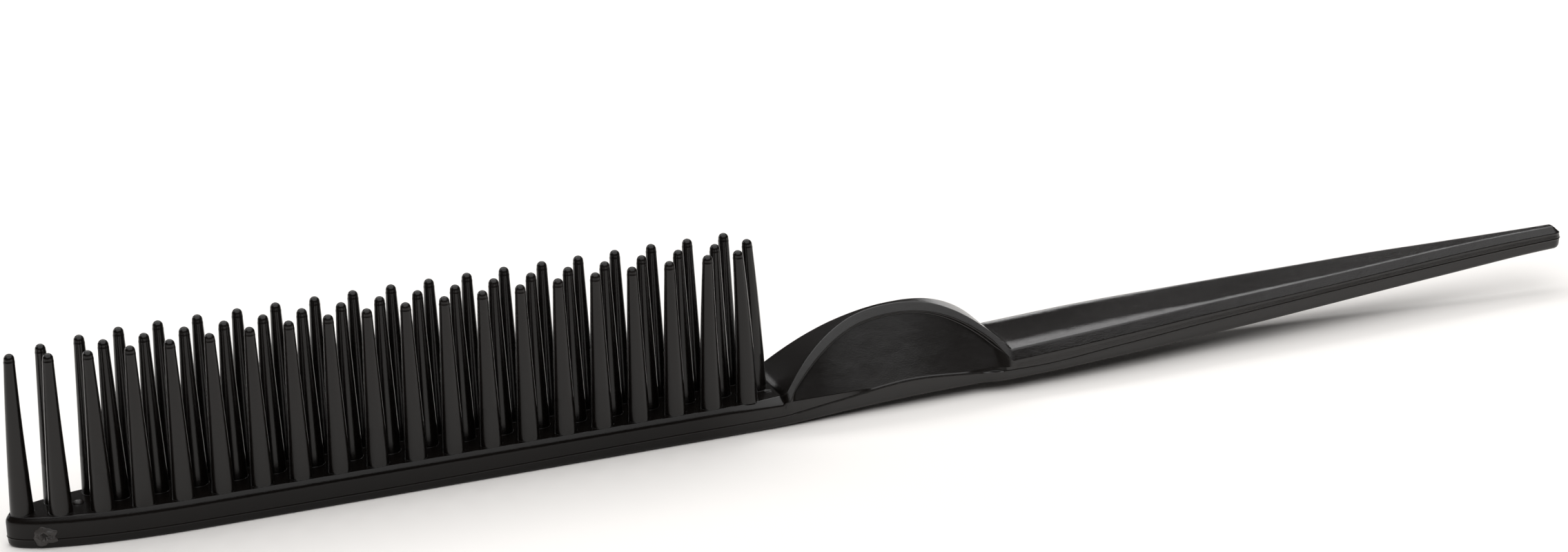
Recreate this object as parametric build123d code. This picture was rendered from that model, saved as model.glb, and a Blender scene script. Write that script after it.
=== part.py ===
from build123d import *
import os

# Rat tail teasing comb: one plastic moulding with three rows of round pins, a
# raised finger grip and a tapering tail.  Millimetres.
# Frame: +X from the nose to the tail tip, +Z the way the pins point, origin
# under the middle of the comb on the surface that its back rests on.

# --- driving dimensions -------------------------------------------------------
COMB_LENGTH = 222.0         # nose to tail tip

PIN_PITCH = 5.0             # along every row
ROW_SPACING = 3.5           # from the middle row to an outer row
PIN_HEIGHT = 20.9           # bed to the top of the rounded tip
PIN_SKIRT = 0.85            # how far a foot that overhangs the bed's edge runs down its bevel
PIN_FOOT_RADIUS = 1.5
PIN_TIP_RADIUS = 0.67
OUTER_PIN_COUNT = 19        # in the front row, and in the back row
MIDDLE_PIN_COUNT = 18
NOSE_PIN_FROM_NOSE = 2.2
OUTER_ROW_FROM_NOSE = 6.7   # first pin of an outer row
MIDDLE_ROW_FROM_NOSE = 14.2
NOSE_ROW_SPACINGS = (1.75, 2.85)   # the first two outer pins close in on the nose

BAR_HEIGHT = 4.2            # back to pin bed
BAR_HALF_WIDTH = 5.5
BED_BEVEL_OUT = 0.55          # the steep bevel along the bed: how far out, and how far down
BED_BEVEL_DOWN = 1.0
BACK_ROUND = 1.2
NOSE_TAPER = 23.6           # length of the half-elliptical nose
PAD_HEIGHT = 0.35           # round ejector pad, where the middle row leaves a gap
PAD_RADIUS = 0.8
PAD_FROM_NOSE = 9.2

GRIP_FROM_NOSE = 101.4      # where the finger grip starts
GRIP_TO_NOSE = 133.7        # where it ends and the tail begins
GRIP_CREST_FROM_NOSE = 119.2
GRIP_CREST_HEIGHT = 13.15   # above the back
GRIP_LEAN = 0.59            # how far each side leans in, for each unit of height
GRIP_BASE_HALF_WIDTH = 5.65     # of the leaning sides, at the height of the bed
GRIP_RIDGE_HALF_WIDTH = 0.6
GRIP_RIM = 1.15             # width of the raised rim round each side panel
GRIP_PANEL_DEPTH = 0.4      # how far the panel is set back from the rim

TAIL_BACK_HEIGHTS = (1.45, 5.0)       # of the tail's back, at its root and its tip
TAIL_TOP_HEIGHTS = (5.95, 8.2)        # of its top face
TAIL_HALF_WIDTHS = (6.2, 1.5)         # over all
TAIL_TOP_INSETS = (0.85, 0.7)         # how far the top face's edge lies inside that
TAIL_BEVEL_HEIGHTS = (1.45, 0.75)
TAIL_BACK_ROUNDS = (1.5, 1.2)
TAIL_SECTION_COUNT = 5
TAIL_TIP_RADIUS = 1.45

REACH = 40.0                # longer than the comb is wide or high


def station(from_nose):
    """X of a point that lies this far from the nose."""
    return from_nose - COMB_LENGTH / 2


def blend(pair, share):
    return pair[0] + (pair[1] - pair[0]) * share


# --- pins -----------------------------------------------------------------------
def pin(x, y):
    """One tapered pin with a domed tip, standing on the bed."""
    shoulder = PIN_HEIGHT - PIN_TIP_RADIUS
    from_its_foot = (Align.CENTER, Align.CENTER, Align.MIN)
    shank = Cone(PIN_FOOT_RADIUS, PIN_TIP_RADIUS, shoulder, align=from_its_foot)
    dome = Pos(0, 0, shoulder) * Sphere(PIN_TIP_RADIUS)
    return Pos(x, y, BAR_HEIGHT) * (shank + dome)


def edge_pin(x, y, bar):
    """A pin whose foot overhangs the bed's edge, carried down to the bevel."""
    from_its_top = (Align.CENTER, Align.CENTER, Align.MAX)
    skirt = Pos(x, y, BAR_HEIGHT) * Cylinder(PIN_FOOT_RADIUS, PIN_SKIRT, align=from_its_top)
    return pin(x, y) + (skirt - bar)


def outer_row_spacing(index):
    """Distance of an outer pin from the comb's middle plane."""
    if index < len(NOSE_ROW_SPACINGS):
        return NOSE_ROW_SPACINGS[index]
    return ROW_SPACING


def all_pins(bar):
    pins = {"nose_pin": edge_pin(station(NOSE_PIN_FROM_NOSE), 0, bar)}
    for index in range(OUTER_PIN_COUNT):
        x = station(OUTER_ROW_FROM_NOSE + index * PIN_PITCH)
        y = outer_row_spacing(index)
        pins[f"front_pin_{index + 1:02d}"] = edge_pin(x, -y, bar)
        pins[f"back_pin_{index + 1:02d}"] = edge_pin(x, y, bar)
    for index in range(MIDDLE_PIN_COUNT):
        x = station(MIDDLE_ROW_FROM_NOSE + index * PIN_PITCH)
        pins[f"middle_pin_{index + 1:02d}"] = pin(x, 0)
    return pins


# --- spine bar --------------------------------------------------------------------
def spine_bar():
    """The bar that carries the pins: elliptical nose, bevelled bed, rounded back."""
    shoulder_x = station(NOSE_TAPER)
    end_x = station(GRIP_FROM_NOSE)
    nose = EllipticalCenterArc((shoulder_x, 0), NOSE_TAPER, BAR_HALF_WIDTH, 90, arc_size=180)
    sides = Polyline(
        (shoulder_x, -BAR_HALF_WIDTH),
        (end_x, -BAR_HALF_WIDTH),
        (end_x, BAR_HALF_WIDTH),
        (shoulder_x, BAR_HALF_WIDTH),
    )
    bar = extrude(make_face(nose + sides), BAR_HEIGHT)
    bed = bar.faces().sort_by(Axis.Z)[-1]
    bed_edges = bed.edges().filter_by_position(Axis.X, -REACH * 4, end_x - 0.1)
    bar = chamfer(bed_edges, BED_BEVEL_OUT, BED_BEVEL_DOWN, reference=bed)
    back_edges = bar.faces().sort_by(Axis.Z)[0].edges().filter_by_position(Axis.X, -REACH * 4, end_x - 0.1)
    bar = fillet(back_edges, BACK_ROUND)
    pad = Pos(station(PAD_FROM_NOSE), 0, BAR_HEIGHT) * Cylinder(PAD_RADIUS, PAD_HEIGHT * 2)
    return bar + pad


# --- finger grip ------------------------------------------------------------------
def grip_height(from_nose, crest, foot):
    """Height of an arch above the bed, from its crest down to zero at its foot."""
    reach = abs(foot - GRIP_CREST_FROM_NOSE)
    return crest * (1 - (abs(from_nose - GRIP_CREST_FROM_NOSE) / reach) ** 2.25)


def arch_points(inset):
    """Points along the arch, set in from its outer line by the given amount."""
    crest = GRIP_CREST_HEIGHT - BAR_HEIGHT - inset
    front_foot = GRIP_FROM_NOSE - 0.4 + inset
    rear_foot = GRIP_TO_NOSE + 1.6 - inset
    points = []
    for share in (0, 0.2, 0.4, 0.65, 1):
        from_nose = front_foot + (GRIP_CREST_FROM_NOSE - front_foot) * share
        height = grip_height(from_nose, crest, front_foot)
        points.append((station(from_nose), BAR_HEIGHT + height))
    for share in (0.35, 0.6, 0.8, 1):
        from_nose = GRIP_CREST_FROM_NOSE + (rear_foot - GRIP_CREST_FROM_NOSE) * share
        height = grip_height(from_nose, crest, rear_foot)
        points.append((station(from_nose), BAR_HEIGHT + height))
    return points


def side_prism(profile):
    """A profile in the X-Z plane, pushed through the comb's whole width."""
    return extrude(Plane.XZ * make_face(profile), REACH / 2, both=True)


def arch_prism(inset):
    points = arch_points(inset)
    arch = Spline(points)
    base = Polyline(points[-1], (points[-1][0], -1), (points[0][0], -1), points[0])
    return side_prism(arch + base)


def leaning_half_width(height, set_back):
    width = GRIP_BASE_HALF_WIDTH - GRIP_LEAN * (height - BAR_HEIGHT) - set_back
    return max(width, GRIP_RIDGE_HALF_WIDTH - set_back / 2)


def grip_cross_section(set_back):
    """The grip seen along X: leaning sides on a bar with a rounded back."""
    x = station(GRIP_FROM_NOSE)
    wall_top = BAR_HEIGHT + (GRIP_BASE_HALF_WIDTH - BAR_HALF_WIDTH) / GRIP_LEAN
    ridge_width = leaning_half_width(REACH, set_back)
    ridge_foot = BAR_HEIGHT + (GRIP_BASE_HALF_WIDTH - set_back - ridge_width) / GRIP_LEAN
    side = [
        (BAR_HALF_WIDTH - set_back, 0),
        (BAR_HALF_WIDTH - set_back, wall_top),
        (ridge_width, ridge_foot),
        (ridge_width, REACH),
    ]
    mirrored = [(-y, z) for y, z in reversed(side)]
    outline = Polyline(*side, *mirrored, close=True)
    return extrude(Plane.YZ.offset(x) * make_face(outline), REACH)


def grip_back_cutter():
    """What lies below the grip's back, which rises from the bar's to the tail's."""
    start = (station(GRIP_FROM_NOSE), 0)
    middle = (station((GRIP_FROM_NOSE + GRIP_TO_NOSE) / 2), TAIL_BACK_HEIGHTS[0] * 0.6)
    end = (station(GRIP_TO_NOSE), TAIL_BACK_HEIGHTS[0])
    back = Spline([start, middle, end], tangents=[(1, 0), (1, 0.03)])
    below = Polyline(end, (end[0] + 1, end[1]), (end[0] + 1, -REACH), (start[0], -REACH), start)
    return side_prism(back + below)


def thumb_grip():
    """The raised finger grip: an arch with leaning sides and a set-back panel in each."""
    length = GRIP_TO_NOSE - GRIP_FROM_NOSE
    middle_x = station((GRIP_FROM_NOSE + GRIP_TO_NOSE) / 2)
    span = Pos(middle_x, 0, 0) * Box(length, REACH, REACH * 2)
    body = arch_prism(0) & grip_cross_section(0) & span
    core = grip_cross_section(GRIP_PANEL_DEPTH)
    panel_floor = Pos(middle_x, 0, BAR_HEIGHT - REACH / 2) * Box(REACH * 2, REACH, REACH)
    panels = (arch_prism(GRIP_RIM) - core) - panel_floor
    body -= panels & span
    body -= grip_back_cutter()
    lowest = [edge for edge in body.edges() if edge.center().Z < TAIL_BACK_HEIGHTS[0] and is_side_edge(edge)]
    return fillet(lowest, BACK_ROUND)


def is_side_edge(edge):
    """True for an edge that runs along the comb rather than across it."""
    box = edge.bounding_box().size
    return box.X > box.Y


# --- tail -------------------------------------------------------------------------
def tail_section(share):
    """The tail's cross-section, from share 0 at its root to 1 at its tip."""
    x = station(GRIP_TO_NOSE + (COMB_LENGTH - GRIP_TO_NOSE) * share)
    half_width = blend(TAIL_HALF_WIDTHS, share)
    top = blend(TAIL_TOP_HEIGHTS, share)
    back = blend(TAIL_BACK_HEIGHTS, share)
    top_edge = half_width - blend(TAIL_TOP_INSETS, share)
    wall_top = top - blend(TAIL_BEVEL_HEIGHTS, share)
    curve = blend(TAIL_BACK_ROUNDS, share) * min(1, half_width / 2)
    wall_foot = back + curve
    corner = (half_width - curve * 0.2929, back + curve * 0.2929)
    right = Polyline((top_edge, top), (half_width, wall_top), (half_width, wall_foot))
    right_round = ThreePointArc((half_width, wall_foot), corner, (half_width - curve, back))
    back_line = Line((half_width - curve, back), (curve - half_width, back))
    left_round = ThreePointArc((curve - half_width, back), (-corner[0], corner[1]), (-half_width, wall_foot))
    left = Polyline((-half_width, wall_foot), (-half_width, wall_top), (-top_edge, top))
    top_line = Line((-top_edge, top), (top_edge, top))
    outline = right + right_round + back_line + left_round + left + top_line
    return Plane.YZ.offset(x) * make_face(outline)


def rounded_end(root_low, root_high, tip_low, tip_high, radius):
    """A tapering outline that ends in rounded corners at the tail tip."""
    root_x = station(GRIP_TO_NOSE) - 1
    tip_x = station(COMB_LENGTH)
    outline = Polyline((root_x, root_low), (tip_x, tip_low), (tip_x, tip_high), (root_x, root_high), close=True)
    face = make_face(outline)
    tip_corners = face.vertices().filter_by_position(Axis.X, tip_x - 0.1, tip_x + 0.1)
    return fillet(tip_corners, radius)


def tail_handle():
    """The tapering tail, with a flat bevelled top and a rounded tip."""
    last = TAIL_SECTION_COUNT - 1
    body = loft([tail_section(index / last) for index in range(TAIL_SECTION_COUNT)], ruled=True)
    wide, narrow = TAIL_HALF_WIDTHS
    plan = rounded_end(-wide - 1, wide + 1, -narrow, narrow, TAIL_TIP_RADIUS)
    side = rounded_end(-1, REACH, TAIL_BACK_HEIGHTS[1], TAIL_TOP_HEIGHTS[1], TAIL_TIP_RADIUS)
    body &= extrude(plan, REACH)
    body &= extrude(Plane.XZ * side, REACH / 2, both=True)
    return body


def main():
    os.makedirs("parts", exist_ok=True)
    nodes = {
        "spine_bar": spine_bar(),
        "thumb_grip": thumb_grip(),
        "tail_handle": tail_handle(),
    }
    nodes.update(all_pins(nodes["spine_bar"]))
    for name, solid in nodes.items():
        export_step(solid, f"parts/{name}.step")


main()
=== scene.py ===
import math
import random

import bpy
from mathutils import Matrix, Vector, noise


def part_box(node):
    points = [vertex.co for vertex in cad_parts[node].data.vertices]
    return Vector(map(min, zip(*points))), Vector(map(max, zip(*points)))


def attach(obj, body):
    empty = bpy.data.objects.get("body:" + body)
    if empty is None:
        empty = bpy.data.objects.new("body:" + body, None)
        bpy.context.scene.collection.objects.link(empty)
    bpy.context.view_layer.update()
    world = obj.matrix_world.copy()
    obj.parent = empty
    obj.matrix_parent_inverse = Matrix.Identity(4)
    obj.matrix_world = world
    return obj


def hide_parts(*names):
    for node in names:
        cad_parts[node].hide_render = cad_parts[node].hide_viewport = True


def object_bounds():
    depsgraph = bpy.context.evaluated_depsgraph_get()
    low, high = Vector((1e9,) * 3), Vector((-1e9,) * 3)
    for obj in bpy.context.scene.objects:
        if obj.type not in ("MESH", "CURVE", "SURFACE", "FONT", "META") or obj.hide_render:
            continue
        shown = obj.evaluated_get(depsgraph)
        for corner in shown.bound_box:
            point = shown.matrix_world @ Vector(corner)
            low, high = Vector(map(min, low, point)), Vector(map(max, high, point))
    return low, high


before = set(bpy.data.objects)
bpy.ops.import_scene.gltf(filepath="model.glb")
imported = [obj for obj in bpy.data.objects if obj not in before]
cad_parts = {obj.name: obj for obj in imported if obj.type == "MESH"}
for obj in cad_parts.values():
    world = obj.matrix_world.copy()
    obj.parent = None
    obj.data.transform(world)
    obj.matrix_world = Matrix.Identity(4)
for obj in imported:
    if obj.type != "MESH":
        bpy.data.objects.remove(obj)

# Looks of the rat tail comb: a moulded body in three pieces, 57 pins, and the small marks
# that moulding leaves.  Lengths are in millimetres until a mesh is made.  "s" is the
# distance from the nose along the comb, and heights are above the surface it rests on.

CAD_LOW, CAD_HIGH = [list(corner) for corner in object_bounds()]

MM = 0.001
NOSE_X = CAD_LOW[0] / MM
LENGTH = (CAD_HIGH[0] - CAD_LOW[0]) / MM
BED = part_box("nose_pin")[0].z / MM
GRIP_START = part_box("thumb_grip")[0].x / MM - NOSE_X
TAIL_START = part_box("tail_handle")[0].x / MM - NOSE_X
OVERALL_HALF_WIDTH = CAD_HIGH[1] / MM

random.seed(11)


# --- small helpers ----------------------------------------------------------------
def clamp(value, low, high):
    return max(low, min(high, value))


def mix(a, b, share):
    return a + (b - a) * share


def ease(value, start, end):
    """Rises smoothly from 0 at start to 1 at end."""
    share = clamp((value - start) / (end - start), 0.0, 1.0)
    return share * share * (3 - 2 * share)


def smooth_max(a, b, softness):
    """The larger of two heights, with the corner between them rounded."""
    return 0.5 * (a + b + math.sqrt((a - b) ** 2 + softness ** 2))


def curve_through(points):
    """A smooth function of s through a list of (s, value) points."""
    xs = [p[0] for p in points]
    ys = [p[1] for p in points]
    last = len(points) - 1
    steps = [(ys[i + 1] - ys[i]) / (xs[i + 1] - xs[i]) for i in range(last)]
    slopes = [steps[0]]
    for before, after in zip(steps, steps[1:]):
        same_way = before * after > 0
        slopes.append(2 * before * after / (before + after) if same_way else 0.0)
    slopes.append(steps[-1])

    def value(s):
        s = clamp(s, xs[0], xs[-1])
        i = 0
        while i < last - 1 and s > xs[i + 1]:
            i += 1
        span = xs[i + 1] - xs[i]
        t = (s - xs[i]) / span
        h00 = (1 + 2 * t) * (1 - t) ** 2
        h10 = t * (1 - t) ** 2
        h01 = t * t * (3 - 2 * t)
        h11 = t * t * (t - 1)
        return h00 * ys[i] + h10 * span * slopes[i] + h01 * ys[i + 1] + h11 * span * slopes[i + 1]

    return value


def ripple(x, y, wavelength, seed):
    """Smooth noise between about -1 and 1."""
    return noise.noise(Vector((x / wavelength + seed, y / wavelength - seed, 0)))


# --- pieces ---------------------------------------------------------------------------
def plain_piece(name, points, faces, material):
    """A smooth-shaded mesh object."""
    mesh = bpy.data.meshes.new(name)
    mesh.from_pydata(points, [], faces)
    mesh.polygons.foreach_set("use_smooth", [True] * len(mesh.polygons))
    mesh.materials.append(material)
    piece = bpy.data.objects.new(name, mesh)
    bpy.context.scene.collection.objects.link(piece)
    return piece


def join_rows(faces, rows, sides):
    """Faces between rows of points, from the lowest row up; a row of one point is a pole."""
    for lower, upper in zip(rows, rows[1:]):
        for k in range(sides):
            after = (k + 1) % sides
            if len(lower) == 1:
                faces.append((lower[0], upper[after], upper[k]))
            elif len(upper) == 1:
                faces.append((lower[k], lower[after], upper[0]))
            else:
                faces.append((lower[k], lower[after], upper[after], upper[k]))


def settle(piece, *nodes):
    """Puts a piece under the root body and hides the CAD nodes that it stands for."""
    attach(piece, "root")
    if nodes:
        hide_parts(*nodes)


# --- the body's form ----------------------------------------------------------------
BAR_HALF_WIDTH = 5.5
BED_BEVEL_OUT = 0.55
BED_BEVEL_DOWN = 0.72           # to the corner with the wall, before that corner is rounded
BED_BEVEL_FOOT_RADIUS = 1.2
NOSE_TAPER = 23.6               # length of the half-elliptical nose

GRIP_CREST_HEIGHT = 8.95        # above the bed
GRIP_CREST_S = 119.2
GRIP_FRONT_REACH = 18.2
GRIP_REAR_REACH = 16.1
GRIP_ARCH_POWER = 2.25
GRIP_RIM = 1.15                 # width of the raised rim round each side panel
GRIP_RIDGE = 0.3                # half width of the crest, before it is rounded
GRIP_FOOT_HALF_WIDTHS = (5.8, 6.35)     # of the leaning sides at bed height, front and rear
GRIP_LEANS = (0.64, 0.62)       # how far each side leans in, for each unit of height
GRIP_PANEL_FOOT = 4.905         # half width of the set-back panel at bed height
GRIP_PANEL_LEAN = 0.493
GRIP_WALL_TOP_HALF_WIDTH = 5.22
GRIP_MIDDLE = (112, 128)        # where the front's widths give way to the rear's

TAIL_HOLLOW = 0.09              # dip between the bevel and the parting line
TIP_RADIUS = 1.5
RIDGE = 0.065                   # how far the parting line stands out
TIP_CENTRE = LENGTH - TIP_RADIUS - RIDGE

# Heights and half widths along the comb.
PARTING_LINE = curve_through([
    (0, 1.3), (44, 1.15), (84, 1.55), (100, 1.6), (108.5, 2.5), (120, 3.7),
    (131, 3.0), (137, 2.95), (149, 3.7), (173, 5.0), (189, 5.7), (222, 6.6),
])
BACK_LINE = curve_through([
    (0, 0), (94, 0), (102, 0.15), (110, 0.6), (118, 0.9), (126, 1.2), (134, 1.45),
    (149, 1.9), (157, 2.1), (169, 2.6), (181, 3.2), (193, 3.8), (205, 4.25), (217, 4.9), (222, 5.1),
])
TAIL_TOP = curve_through([
    (120, 5.0), (136.7, 5.85), (148.7, 6.45), (160, 6.85),
    (181, 7.45), (197, 7.93), (213, 8.2), (222, 8.25),
])
TAIL_TOP_HALF_WIDTH = curve_through([
    (120, 5.6), (136.7, 5.35), (144.7, 5.2), (152.7, 4.85), (160.7, 4.3), (176.7, 3.4),
    (192.7, 2.35), (200.7, 1.65), (208.7, 1.05), (216.7, 0.7), (222, 0.6),
])
TAIL_BEVEL_OUT = curve_through([(120, 0.8), (136, 0.85), (200, 0.85), (222, 0.8)])
TAIL_BEVEL_DOWN = curve_through([(120, 1.45), (137, 1.45), (180, 1.15), (222, 0.75)])
# Along each side of the tail's top: how wide its roll-off is, and how round its edge.
TAIL_ROLL_OFF = curve_through([(120, 2.2), (140, 2.2), (155, 1.7), (166, 0.7), (222, 0.3)])
TAIL_EDGE_RADIUS = curve_through([(120, 0.5), (150, 0.45), (170, 0.25), (222, 0.18)])
# How far the bed's edge draws in where the bar meets the grip.
BED_EDGE_PULL_IN = curve_through([(94, 0), (98, 0.4), (102, 1.0)])


def arch_height(s, inset=0.0):
    """Height of the grip's arch above the bed; negative beyond its feet."""
    reach = GRIP_FRONT_REACH if s < GRIP_CREST_S else GRIP_REAR_REACH
    reach -= inset
    crest = GRIP_CREST_HEIGHT - inset
    return crest * (1 - (abs(s - GRIP_CREST_S) / reach) ** GRIP_ARCH_POWER)


def grip_foot_half_width(s):
    """Half width of the grip's leaning side where it meets the height of the bed."""
    return mix(*GRIP_FOOT_HALF_WIDTHS, ease(s, *GRIP_MIDDLE))


def grip_edge_half_width(height, s):
    """Half width of the grip's top edge where the arch is this high above the bed."""
    lean = mix(*GRIP_LEANS, ease(s, *GRIP_MIDDLE))
    width = grip_foot_half_width(s) - lean * height
    return smooth_max(width, GRIP_RIDGE, 0.2)


def is_tail(s):
    return ease(s, TAIL_START - 0.5, TAIL_START + 0.7)


def is_grip(s):
    return ease(s, GRIP_START - 0.35, GRIP_START + 0.35)


def wall_half_width(s):
    """Half width of the upright wall, which is the comb's overall half width."""
    tail = min(TAIL_TOP_HALF_WIDTH(s) + TAIL_BEVEL_OUT(s), OVERALL_HALF_WIDTH - RIDGE)
    return mix(BAR_HALF_WIDTH - RIDGE, tail, ease(s, TAIL_START - 4.5, TAIL_START - 0.5))


def bar_side(s):
    edge = BAR_HALF_WIDTH - BED_BEVEL_OUT - BED_EDGE_PULL_IN(s)
    low = BED - BED_BEVEL_DOWN
    wall = wall_half_width(s)
    return [
        (edge, BED),
        (wall, low),
        (wall, low - 0.85),
        (wall, PARTING_LINE(s) + 0.4),
    ]


def tail_side(s):
    top = TAIL_TOP(s)
    wall = wall_half_width(s)
    low = top - TAIL_BEVEL_DOWN(s)
    parting = PARTING_LINE(s)
    return [
        (TAIL_TOP_HALF_WIDTH(s), top),
        (wall - 0.02, low),
        (wall - TAIL_HOLLOW, mix(low, parting, 0.3)),
        (wall - 0.02, mix(low, parting, 0.72)),
    ]


def grip_side(s):
    """Rim and set-back panel of the grip, from its top edge down to the wall."""
    arch = max(arch_height(s), 0.02)
    edge = grip_edge_half_width(arch, s)
    foot = grip_foot_half_width(s)
    wall_top = max(BED - 0.6, PARTING_LINE(s) + 0.25)

    def on_rim(height):
        share = (arch - height) / max(arch, 0.3)
        return mix(edge, foot, clamp(share, 0.0, 1.15))

    def on_panel(height):
        return GRIP_PANEL_FOOT - GRIP_PANEL_LEAN * height

    inner_arch = arch_height(s, GRIP_RIM)
    rim_low = max(inner_arch, wall_top - BED + 0.25)
    open_share = ease(inner_arch, wall_top - BED + 0.1, wall_top - BED + 1.6)
    open_share *= 1 - ease(s, TAIL_START - 2.4, TAIL_START - 0.3)
    rim = on_rim(rim_low)
    panel_high = rim_low - mix(0.02, 0.22, open_share)
    panel = min(mix(on_rim(panel_high), on_panel(panel_high), open_share), rim + 0.02)
    panel = mix(panel, min(panel, rim - 0.2), open_share)
    low_edge = mix(wall_half_width(s) + 0.05, GRIP_WALL_TOP_HALF_WIDTH, open_share)
    return [
        (edge, BED + arch),
        (rim, BED + rim_low),
        (panel, BED + panel_high),
        (low_edge, wall_top),
    ]


def blend_points(first, second, share):
    return [(mix(a[0], b[0], share), mix(a[1], b[1], share)) for a, b in zip(first, second)]


def side_controls(s):
    """Corner points of the half cross-section, from the top edge down to the back."""
    upper = bar_side(s)
    if is_grip(s) > 0:
        upper = blend_points(upper, grip_side(s), is_grip(s))
    if is_tail(s) > 0:
        upper = blend_points(upper, tail_side(s), is_tail(s))
    wall = wall_half_width(s)
    parting = PARTING_LINE(s)
    upright = wall
    if is_grip(s) > 0 and is_tail(s) < 1:
        upright = mix(wall, min(wall, upper[3][0] + 0.1), is_grip(s) * (1 - is_tail(s)))
    back = BACK_LINE(s)
    lower = [
        (upright, parting + 0.13),
        (upright + RIDGE, parting),
        (wall - 0.02, parting - 0.13),
        (wall - 0.1, back),
    ]
    return upper + lower


# For each corner of the half section: its radius, the points on it, and the points between
# it and the next corner.
CORNER_RADII = [0.2, 0.4, 0.3, 0.4, 0.05, 0.03, 0.05, 1.25]
CORNER_STEPS = [6, 7, 5, 4, 2, 2, 2, 8]
STRAIGHT_STEPS = [2, 2, 5, 2, 1, 1, 2]
TOP_STEPS = 16
BACK_STEPS = 5
NOSE_STATIONS = 44
TIP_STATIONS = 12


def round_corner(before, corner, after, radius, steps):
    """Points along a fillet at one corner, always the same number of them."""
    to_before = Vector(before) - Vector(corner)
    to_after = Vector(after) - Vector(corner)
    room = 0.48 * min(to_before.length, to_after.length)
    angle = max(to_before.angle(to_after, math.pi), 0.05)
    cut = min(radius / math.tan(angle / 2), room) if angle < math.pi - 0.01 else room * 0.5
    start = Vector(corner) + to_before.normalized() * cut
    end = Vector(corner) + to_after.normalized() * cut
    points = []
    for i in range(steps):
        t = i / (steps - 1)
        point = start * (1 - t) ** 2 + Vector(corner) * 2 * t * (1 - t) + end * t * t
        points.append(point)
    return points


def half_section(s):
    """Side profile at s as (half width, height) points, top edge to back edge."""
    controls = side_controls(s)
    inner_top = (max(controls[0][0] - 1.0, 0.0), controls[0][1])
    inner_back = (max(controls[-1][0] - 3.0, 0.0), controls[-1][1])
    chain = [inner_top] + controls + [inner_back]
    points = []
    for i, radius in enumerate(CORNER_RADII):
        limit = radius
        if i == 0:
            limit = mix(radius, TAIL_EDGE_RADIUS(s), is_tail(s))
        if i == 1:
            limit = mix(BED_BEVEL_FOOT_RADIUS, radius, max(is_grip(s), is_tail(s)))
        if i == len(CORNER_RADII) - 1:
            limit = min(radius, 0.42 * controls[-1][0] + 0.25)
        arc = round_corner(chain[i], chain[i + 1], chain[i + 2], limit, CORNER_STEPS[i])
        if points:
            previous = points[-1]
            for k in range(1, STRAIGHT_STEPS[i - 1] + 1):
                share = k / (STRAIGHT_STEPS[i - 1] + 1)
                points.append(previous.lerp(arc[0], share))
        points.extend(arc)
    return points


# --- columns: one closed ring of points at each station ---------------------------
def nose_place(angle, inset, reach):
    """Plan position on the half-elliptical nose, at an inset from its outline."""
    s = NOSE_TAPER - (NOSE_TAPER - inset) * math.cos(angle)
    return s, (reach - inset) * math.sin(angle)


def tip_place(angle, inset, reach):
    """Plan position on the rounded tail tip."""
    radius = max(reach - inset, 0.0)
    return TIP_CENTRE + radius * math.cos(angle) * TIP_RADIUS / reach, radius * math.sin(angle)


def tail_crown(s, y, edge):
    """How far the tail's top rises inside its edge, by a gentle roll-off along each side."""
    strip = min(TAIL_ROLL_OFF(s), edge)
    out = clamp((abs(y) - edge + strip) / strip, 0.0, 1.0)
    return is_tail(s) * 0.15 * strip * (1 - out * out)


def surface_wander(s, y):
    """Small sinks and waves that moulding leaves, as a height in millimetres."""
    on_tail = ease(s, TAIL_START, TAIL_START + 8)
    sink = 0.03 * ripple(s, y * 2, 7.0, 3.1) + 0.02 * ripple(s, y, 1.6, 8.4)
    calm = 0.008 * ripple(s, y, 9.0, 1.7)
    return mix(calm, sink, on_tail)


def ring_at(place, profile, reach):
    """Half ring of points, from the top centre round the side to the back centre."""
    half = []
    first_s, first_y = place(reach - profile[0][0])
    for k in range(TOP_STEPS):
        share = k / TOP_STEPS
        y = first_y * share
        lift = 0.0
        if place.dented:
            lift = surface_wander(first_s, y) * (1 - share ** 6) + tail_crown(first_s, y, first_y)
        half.append((first_s, y, profile[0][1] + lift))
    for width, height in profile:
        s, y = place(reach - width)
        half.append((s, y, height))
    last_s, last_y = place(reach - profile[-1][0])
    for k in range(1, BACK_STEPS + 1):
        share = 1 - k / BACK_STEPS
        half.append((last_s, last_y * share, profile[-1][1]))
    return half


class Station:
    """Where a profile point of one column lies in plan, given its inset."""

    def __init__(self, kind, value, reach):
        self.kind = kind
        self.value = value
        self.reach = reach
        self.dented = kind != "nose"

    def __call__(self, inset):
        if self.kind == "nose":
            return nose_place(self.value, inset, self.reach)
        if self.kind == "tip":
            return tip_place(self.value, inset, self.reach)
        return self.value, self.reach - inset


def tip_squeeze(profile, angle, reach):
    """Draws the tip's profile in towards its middle height, for a rounded end."""
    shrink = mix(0.72, 1.0, ease(math.sin(angle), 0.0, 1.0))
    heights = [point[1] for point in profile]
    middle = 0.5 * (max(heights) + min(heights))
    return [(width, middle + (height - middle) * shrink) for width, height in profile]


def step_at(s):
    """Distance to the next station: shorter where the form changes quickly."""
    if GRIP_START - 1.0 <= s < GRIP_START + 4.0:
        return 0.15
    if TAIL_START - 3.5 <= s < TAIL_START + 2.0:
        return 0.2
    if s > TIP_CENTRE - 4:
        return 0.25
    if s > 94:
        return 0.5
    return 2.0


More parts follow.
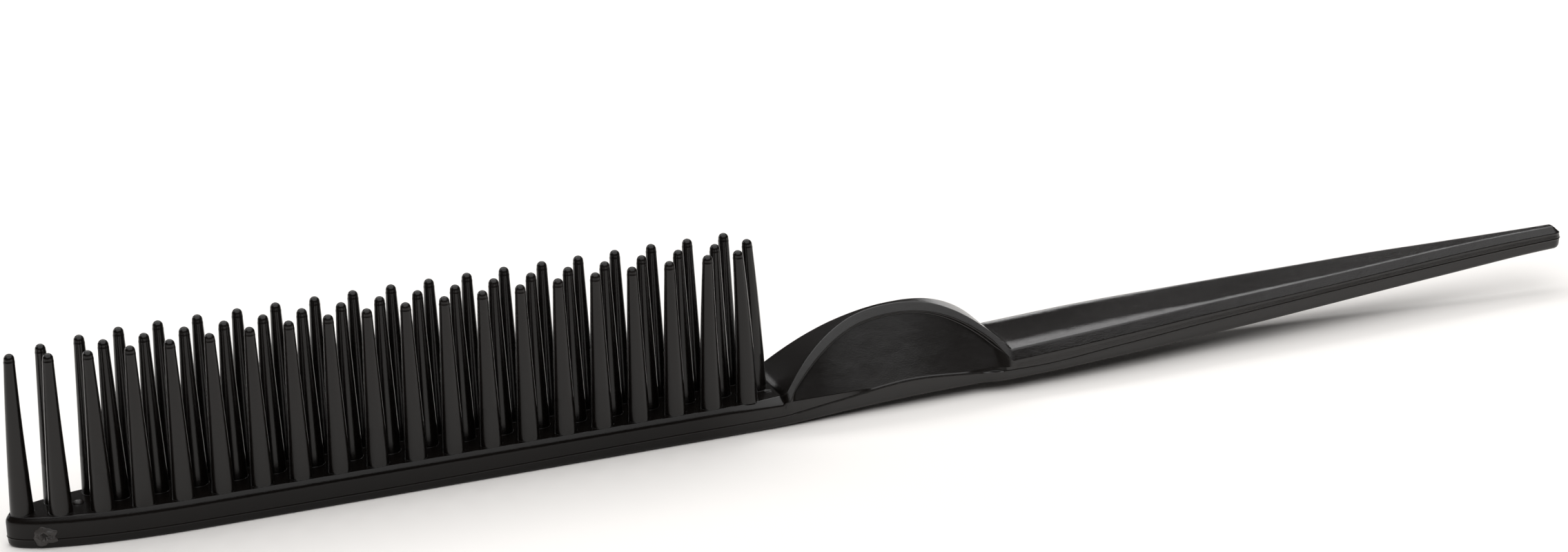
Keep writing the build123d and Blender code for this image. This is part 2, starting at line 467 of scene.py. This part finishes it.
def stations():
    """Stations from nose to tip, with one exactly at each end of the grip."""
    for i in range(NOSE_STATIONS):
        angle = math.pi / 2 * (i / NOSE_STATIONS) ** 1.15
        yield Station("nose", max(angle, 0.004), BAR_HALF_WIDTH)
    s = NOSE_TAPER
    while s < TIP_CENTRE - 0.05:
        yield Station("straight", s, wall_half_width(s))
        following = s + step_at(s)
        for mark in (GRIP_START, TAIL_START):
            if s < mark - 1e-6 < following:
                following = mark
        s = following
    for i in range(TIP_STATIONS + 1):
        angle = math.pi / 2 * (1 - i / TIP_STATIONS)
        yield Station("tip", max(angle, 0.02), wall_half_width(TIP_CENTRE))


def profile_for(station):
    if station.kind == "nose":
        return half_section(NOSE_TAPER)
    if station.kind == "tip":
        return tip_squeeze(half_section(TIP_CENTRE), station.value, station.reach)
    return half_section(station.value)


def body_rings():
    """All rings of the body, each with the distance from the nose that it stands at."""
    ends = {"nose": 0.0, "tip": LENGTH}
    rings = []
    for station in stations():
        half = ring_at(station, profile_for(station), station.reach)
        other = [(s, -y, z) for s, y, z in reversed(half[1:-1])]
        ring = [Vector((NOSE_X + s, -y, z)) for s, y, z in half + other]
        rings.append((ends.get(station.kind, station.value), ring))
    return rings


def grid_normals(rings):
    """Smooth normals of the whole body, so that its pieces meet without a seam."""
    rows = [ring for _, ring in rings]
    count = len(rows[0])
    normals = []
    for i, row in enumerate(rows):
        before = rows[max(i - 1, 0)]
        after = rows[min(i + 1, len(rows) - 1)]
        line = []
        for k in range(count):
            along = after[k] - before[k]
            around = row[(k + 1) % count] - row[k - 1]
            normal = around.cross(along)
            if normal.length < 1e-9:
                normal = row[k] - (before[k] if i else after[k])
            line.append(normal.normalized())
        normals.append(line)
    return normals


def tenon(ring, shift):
    """A ring moved along and drawn in a little, which closes the joint with the next piece."""
    centre = sum(ring, Vector()) / len(ring)
    return [centre.lerp(point, 0.995) + Vector((shift, 0, 0)) for point in ring]


def cap_faces(start, count, flip):
    """Faces that close a ring, each between a point and its mirror image."""
    faces = []
    for k in range(count // 2):
        upper, lower = start + k, start + (count - k) % count
        next_upper, next_lower = start + k + 1, start + (count - k - 1) % count
        face = [upper, next_upper, next_lower, lower]
        if upper == lower:
            face = [upper, next_upper, next_lower]
        if next_upper == next_lower:
            face = [upper, next_upper, lower]
        faces.append(tuple(reversed(face)) if flip else tuple(face))
    return faces


def body_piece(name, rings, normals, first, last, material):
    """One closed piece of the body between two of its rings."""
    count = len(rings[0][1])
    loops = [rings[i][1] for i in range(first, last + 1)]
    slants = [normals[i] for i in range(first, last + 1)]
    if first > 0:
        loops.insert(0, tenon(loops[0], -0.1))
        slants.insert(0, slants[0])
    if last < len(rings) - 1:
        loops.append(tenon(loops[-1], 0.1))
        slants.append(slants[-1])
    points = [point * MM for loop in loops for point in loop]
    rows = len(loops) - 1
    faces = []
    for i in range(rows):
        for k in range(count):
            a = i * count + k
            b = i * count + (k + 1) % count
            faces.append((a, b, b + count, a + count))
    side_faces = len(faces)
    faces += cap_faces(0, count, True) + cap_faces(rows * count, count, False)
    piece = plain_piece(name, points, faces, material)
    corner_normals = []
    for polygon in piece.data.polygons:
        for vertex in polygon.vertices:
            if polygon.index < side_faces:
                corner_normals.append(slants[vertex // count][vertex % count])
            else:
                corner_normals.append(polygon.normal)
    piece.data.normals_split_custom_set(corner_normals)
    return piece


# --- pins -----------------------------------------------------------------------------
PIN_SIDES = 28
PIN_FOOT_RADIUS = 1.5
PIN_TIP_RADIUS = 0.67
PIN_FOOT_FILLET = 0.05
PIN_FOOT_BLEND = 1.2            # height over which a foot is drawn in to the edge of the bed
PIN_DOME_STEPS = 8
PIN_SPAN = (8.0, 11.0, 14.0, 17.0)      # heights of the rings along the upper shank
BENT_PINS = {                   # how far along the comb a tip stands from its foot
    "nose_pin": 0.43,
    "front_pin_01": 0.3,
    "front_pin_18": 0.3,
    "front_pin_19": -0.55,
    "middle_pin_18": -0.5,
}


def overhang(s, y):
    """How far a point in plan lies outside the flat of the bed, measured across the comb."""
    reach = BAR_HALF_WIDTH
    if s < NOSE_TAPER:
        along = (NOSE_TAPER - s) / (NOSE_TAPER - BED_BEVEL_OUT)
        flat = (reach - BED_BEVEL_OUT) * math.sqrt(max(1 - along * along, 0.0))
    else:
        flat = reach - BED_BEVEL_OUT
    return max(abs(y) - flat, 0.0)


def pin_profile(height, ring_height, ring_size):
    """Radius and height of a pin from below the bed to the top of its dome."""
    shoulder = height - PIN_TIP_RADIUS
    profile = [(0.0, -0.1), (PIN_FOOT_RADIUS + PIN_FOOT_FILLET, -0.1)]
    for i in range(6):
        angle = math.pi / 2 * i / 5
        flare = PIN_FOOT_FILLET * (1 - math.sin(angle))
        profile.append((PIN_FOOT_RADIUS + flare, PIN_FOOT_FILLET * (1 - math.cos(angle))))

    def shank(z):
        share = (z - PIN_FOOT_FILLET) / (shoulder - PIN_FOOT_FILLET)
        return mix(PIN_FOOT_RADIUS, PIN_TIP_RADIUS + 0.01, share)

    for z in (0.7, 1.5, 3.5, ring_height - 0.12):
        profile.append((shank(z), z))
    profile.append((shank(ring_height) + ring_size, ring_height))
    profile.append((shank(ring_height), ring_height + 0.12))
    for z in PIN_SPAN:
        profile.append((shank(z), z))
    neck = shoulder - 0.35
    profile.append((shank(neck - 0.3), neck - 0.3))
    profile.append((shank(neck) + 0.022, neck - 0.05))
    profile.append((shank(neck) + 0.022, neck + 0.03))
    profile.append((shank(neck) - 0.012, neck + 0.1))
    for i in range(PIN_DOME_STEPS + 1):
        angle = math.pi / 2 * i / PIN_DOME_STEPS
        radius = PIN_TIP_RADIUS * math.cos(angle)
        profile.append((radius, shoulder + PIN_TIP_RADIUS * math.sin(angle)))
    return profile


def pin_piece(name, material, bend):
    """One pin, standing where its CAD node does."""
    low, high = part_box(name)
    x = 0.5 * (low.x + high.x) / MM
    y = 0.5 * (low.y + high.y) / MM
    height = high.z / MM - BED
    ring_size = random.choice((0.0, 0.0, 0.01, 0.018))
    profile = pin_profile(height, random.uniform(4.9, 5.4), ring_size)
    lean_x = bend + random.uniform(-0.07, 0.07)
    lean_y = random.uniform(-0.06, 0.06)
    rows = []
    points = []
    for radius, z in profile:
        share = (max(z, 0.0) / height) ** 2
        middle = Vector((x + lean_x * share, y + lean_y * share, BED + z))
        follow = clamp(1 - z / PIN_FOOT_BLEND, 0.0, 1.0)
        row = []
        sides = PIN_SIDES if radius > 1e-6 else 1
        for k in range(sides):
            turn = 2 * math.pi * k / PIN_SIDES
            row.append(len(points))
            point = middle + Vector((math.cos(turn), math.sin(turn), 0)) * radius
            point.y -= math.copysign(overhang(point.x - NOSE_X, point.y) * follow, point.y)
            points.append(point * MM)
        rows.append(row)
    faces = []
    join_rows(faces, rows, PIN_SIDES)
    return plain_piece(name + "_look", points, faces, material)


# --- marks left by moulding -----------------------------------------------------------
GATE_TURN = 35                  # degrees round the nose from its tip
GATE_RADIUS = 1.65
PAD_FROM_NOSE = 9.2
PAD_RADIUS = 0.8
RING_FROM_NOSE = 100.3
RING_SIDE = -1.9
RING_RADIUS = 0.7


def rough_disc(name, middle, outward, radius, height_at, material, rings, sides, ragged):
    """A small closed mound on a surface: its height over the surface is height_at(r, turn)."""
    across = outward.cross(Vector((0, 0, 1)))
    if across.length < 0.1:
        across = Vector((1, 0, 0))
    across.normalize()
    along = outward.cross(across)
    points = [(middle - outward * 0.12) * MM]
    rows = [[0]]
    for i in range(rings, 0, -1):
        row = []
        for k in range(sides):
            turn = 2 * math.pi * k / sides
            uneven = 1 + ragged * ripple(math.cos(turn), math.sin(turn), 0.6, 2.0)
            r = radius * i / rings * uneven
            flat = across * math.cos(turn) * r + along * math.sin(turn) * r * 0.75
            lift = height_at(i / rings, turn) if i < rings else -0.1
            row.append(len(points))
            points.append((middle + flat + outward * lift) * MM)
        rows.append(row)
    rows.append([len(points)])
    points.append((middle + outward * height_at(0.0, 0.0)) * MM)
    faces = []
    join_rows(faces, rows, sides)
    return plain_piece(name, points, faces, material)


def torn_gate(share, turn):
    """Height of the broken-off gate: a torn rim round a pit."""
    x, y = math.cos(turn) * share, math.sin(turn) * share
    torn = 0.16 * ripple(x, y, 0.45, 5.0) + 0.1 * ripple(x, y, 0.17, 7.0)
    rim = 0.22 * math.exp(-((share - 0.5) / 0.25) ** 2)
    pit = 0.3 * math.exp(-((x - 0.1) ** 2 + (y + 0.15) ** 2) / 0.03)
    return max(0.05 + rim + torn * (1 - share ** 4) - pit, -0.08)


def pad_bump(share, turn):
    """Height of the rough pad where the middle row leaves a gap."""
    grain = 0.07 * ripple(math.cos(turn) * share, math.sin(turn) * share, 0.35, 9.0)
    return (0.33 + grain) * (1 - share ** 3)


def thin_ring(share, turn):
    return 0.01 + 0.1 * math.exp(-((share - 0.8) / 0.1) ** 2)


def make_marks(torn, plain):
    """The broken-off gate on the nose, and two ejector marks on the bed."""
    turn = math.radians(GATE_TURN)
    s, y = nose_place(turn, 0.07, BAR_HALF_WIDTH)
    outward = Vector((-math.cos(turn) / NOSE_TAPER, -math.sin(turn) / BAR_HALF_WIDTH, 0)).normalized()
    gate = Vector((NOSE_X + s, -y, PARTING_LINE(0) + 0.35))
    settle(rough_disc("gate_mark", gate, outward, GATE_RADIUS, torn_gate, torn, 16, 64, 0.5))
    up = Vector((0, 0, 1))
    pad = Vector((NOSE_X + PAD_FROM_NOSE, 0, BED))
    settle(rough_disc("front_ejector_mark", pad, up, PAD_RADIUS, pad_bump, torn, 10, 36, 0.2))
    ring = Vector((NOSE_X + RING_FROM_NOSE, RING_SIDE, BED))
    settle(rough_disc("rear_ejector_mark", ring, up, RING_RADIUS, thin_ring, plain, 14, 36, 0.0))


# --- materials ------------------------------------------------------------------------
DARK_PLASTIC = (0.0034, 0.0026, 0.0022)
LIGHT_PLASTIC = (0.0062, 0.0047, 0.0040)
BAR_POLISH = 0.24
GRIP_POLISH = 0.5


def add_node(tree, kind, values, links=()):
    """A new node with its values set, and each (output, input name) of links joined to it."""
    node = tree.nodes.new(kind)
    for name, value in values.items():
        node.inputs[name].default_value = value
    for output, name in links:
        tree.links.new(output, node.inputs[name])
    return node


def spread(tree, source, source_range, result_range):
    """Maps one range of values on to another."""
    values = {
        "From Min": source_range[0],
        "From Max": source_range[1],
        "To Min": result_range[0],
        "To Max": result_range[1],
    }
    return add_node(tree, "ShaderNodeMapRange", values, [(source, "Value")])


def polish_along_bar(tree, place, socket):
    """Raises the polish from the bar's to the grip's where the two meet."""
    axes = add_node(tree, "ShaderNodeSeparateXYZ", {}, [(place, "Vector")])
    grip_start = NOSE_X + GRIP_START
    reach = ((grip_start - 12) * MM, (grip_start + 8) * MM)
    sheen = spread(tree, axes.outputs["X"], reach, (BAR_POLISH, GRIP_POLISH))
    tree.links.new(sheen.outputs["Result"], socket)


def black_plastic(name, polish, roughness, grain, grain_size, waves, shade=1):
    """Moulded black plastic: faint flow marks, varied gloss, fine grain and soft waves.

    A polish of None is the body's, which changes along it.
    """
    material = bpy.data.materials.new(name)
    material.use_nodes = True
    tree = material.node_tree
    shader = tree.nodes["Principled BSDF"]
    shader.inputs["IOR"].default_value = 1.5
    place = tree.nodes.new("ShaderNodeTexCoord").outputs["Object"]

    if polish is None:
        polish_along_bar(tree, place, shader.inputs["Specular IOR Level"])
    else:
        shader.inputs["Specular IOR Level"].default_value = polish

    along = add_node(tree, "ShaderNodeMapping", {"Scale": (0.35, 1, 1)}, [(place, "Vector")])
    flow_values = {"Scale": 60, "Detail": 4}
    flow = add_node(tree, "ShaderNodeTexNoise", flow_values, [(along.outputs["Vector"], "Vector")])
    colour = add_node(tree, "ShaderNodeValToRGB", {}, [(flow.outputs["Fac"], "Fac")])
    dark, light = colour.color_ramp.elements
    dark.position = 0.35
    dark.color = [part * shade for part in DARK_PLASTIC] + [1]
    light.position = 0.7
    light.color = [part * shade for part in LIGHT_PLASTIC] + [1]
    tree.links.new(colour.outputs["Color"], shader.inputs["Base Color"])
    gloss = spread(tree, flow.outputs["Fac"], (0.3, 0.7), roughness)
    tree.links.new(gloss.outputs["Result"], shader.inputs["Roughness"])

    broad = add_node(tree, "ShaderNodeTexNoise", {"Scale": 350, "Detail": 2}, [(place, "Vector")])
    fine = add_node(tree, "ShaderNodeTexNoise", {"Scale": grain_size, "Detail": 3}, [(place, "Vector")])
    wave_values = {"Strength": waves, "Distance": 0.0004}
    wave_bump = add_node(tree, "ShaderNodeBump", wave_values, [(broad.outputs["Fac"], "Height")])
    grain_links = [(fine.outputs["Fac"], "Height"), (wave_bump.outputs["Normal"], "Normal")]
    grain_values = {"Strength": grain, "Distance": 0.0001}
    grain_bump = add_node(tree, "ShaderNodeBump", grain_values, grain_links)
    tree.links.new(grain_bump.outputs["Normal"], shader.inputs["Normal"])
    return material


def pale_floor():
    material = bpy.data.materials.new("pale_floor")
    material.use_nodes = True
    shader = material.node_tree.nodes["Principled BSDF"]
    shader.inputs["Base Color"].default_value = (0.93, 0.905, 0.88, 1)
    shader.inputs["Roughness"].default_value = 0.9
    shader.inputs["Specular IOR Level"].default_value = 0.1
    return material


# --- setting --------------------------------------------------------------------------
def make_floor():
    half = 3.0
    mesh = bpy.data.meshes.new("floor")
    corners = [(-half, -half, 0), (half, -half, 0), (half, half, 0), (-half, half, 0)]
    mesh.from_pydata(corners, [], [(0, 1, 2, 3)])
    mesh.materials.append(pale_floor())
    floor = bpy.data.objects.new("floor", mesh)
    bpy.context.scene.collection.objects.link(floor)


def make_camera():
    azimuth = math.radians(-20.4)
    elevation = math.radians(20.487)
    roll = math.radians(-1.665)
    target = Vector((-7.26, 0, 19.16)) * MM
    distance = 487.6 * MM
    back = Vector((
        math.cos(elevation) * math.sin(azimuth),
        -math.cos(elevation) * math.cos(azimuth),
        math.sin(elevation),
    ))
    right = Vector((math.cos(azimuth), math.sin(azimuth), 0))
    up = back.cross(right)
    right_rolled = right * math.cos(roll) + up * math.sin(roll)
    up_rolled = up * math.cos(roll) - right * math.sin(roll)
    data = bpy.data.cameras.new("camera")
    data.sensor_width = 36
    data.lens = 36 * 5377.9 / 2272
    data.clip_start = 0.01
    camera = bpy.data.objects.new("camera", data)
    turn = Matrix((right_rolled, up_rolled, back)).transposed().to_4x4()
    camera.matrix_world = Matrix.Translation(target + back * distance) @ turn
    bpy.context.scene.collection.objects.link(camera)
    bpy.context.scene.camera = camera


def area_light(name, place, aim, width, height, power):
    data = bpy.data.lights.new(name, "AREA")
    data.shape = "RECTANGLE"
    data.size = width
    data.size_y = height
    data.energy = power
    light = bpy.data.objects.new(name, data)
    light.location = place
    direction = Vector(aim) - Vector(place)
    light.rotation_euler = direction.to_track_quat("-Z", "Y").to_euler()
    bpy.context.scene.collection.objects.link(light)


def make_lights():
    area_light("overhead", (0, -0.3, 1.1), (0, -0.3, 0), 2.4, 2.4, 28)
    area_light("high_back", (0.1, 0.85, 0.95), (0, 0, 0), 1.6, 0.25, 5.5)
    area_light("left_back", (-1.1, 1.2, 0.5), (-0.1, 0, 0), 0.5, 0.4, 3)
    area_light("low_back", (0.4, 2.2, 0.13), (0, 0, 0.05), 4.0, 0.24, 6)
    world = bpy.data.worlds.new("room")
    world.use_nodes = True
    shade = world.node_tree.nodes["Background"]
    shade.inputs["Color"].default_value = (1, 0.97, 0.93, 1)
    shade.inputs["Strength"].default_value = 0.04
    bpy.context.scene.world = world


def make_body(body_material, tail_material):
    rings = body_rings()
    normals = grid_normals(rings)
    grip_ring = min(range(len(rings)), key=lambda i: abs(rings[i][0] - GRIP_START))
    tail_ring = min(range(len(rings)), key=lambda i: abs(rings[i][0] - TAIL_START))
    last = len(rings) - 1
    spans = [
        ("spine_bar", 0, grip_ring, body_material),
        ("thumb_grip", grip_ring, tail_ring, body_material),
        ("tail_handle", tail_ring, last, tail_material),
    ]
    for node, start, end, material in spans:
        settle(body_piece(node + "_look", rings, normals, start, end, material), node)


def make_pins(material):
    for name in sorted(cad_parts):
        if "_pin" in name:
            settle(pin_piece(name, material, BENT_PINS.get(name, 0.0)), name)


def main():
    make_camera()
    make_floor()
    make_lights()
    bpy.context.scene.view_settings.view_transform = "Standard"
    body_material = black_plastic("body_plastic", None, (0.18, 0.28), 0.12, 7000, 0.08)
    tail_material = black_plastic("tail_plastic", GRIP_POLISH, (0.18, 0.28), 0.25, 6000, 0.15)
    pin_material = black_plastic("pin_plastic", 0.36, (0.2, 0.28), 0.1, 9000, 0.04)
    torn_material = black_plastic("torn_plastic", 0.7, (0.28, 0.42), 0.5, 9000, 0.3, shade=3)
    make_body(body_material, tail_material)
    make_pins(pin_material)
    make_marks(torn_material, body_material)


main()
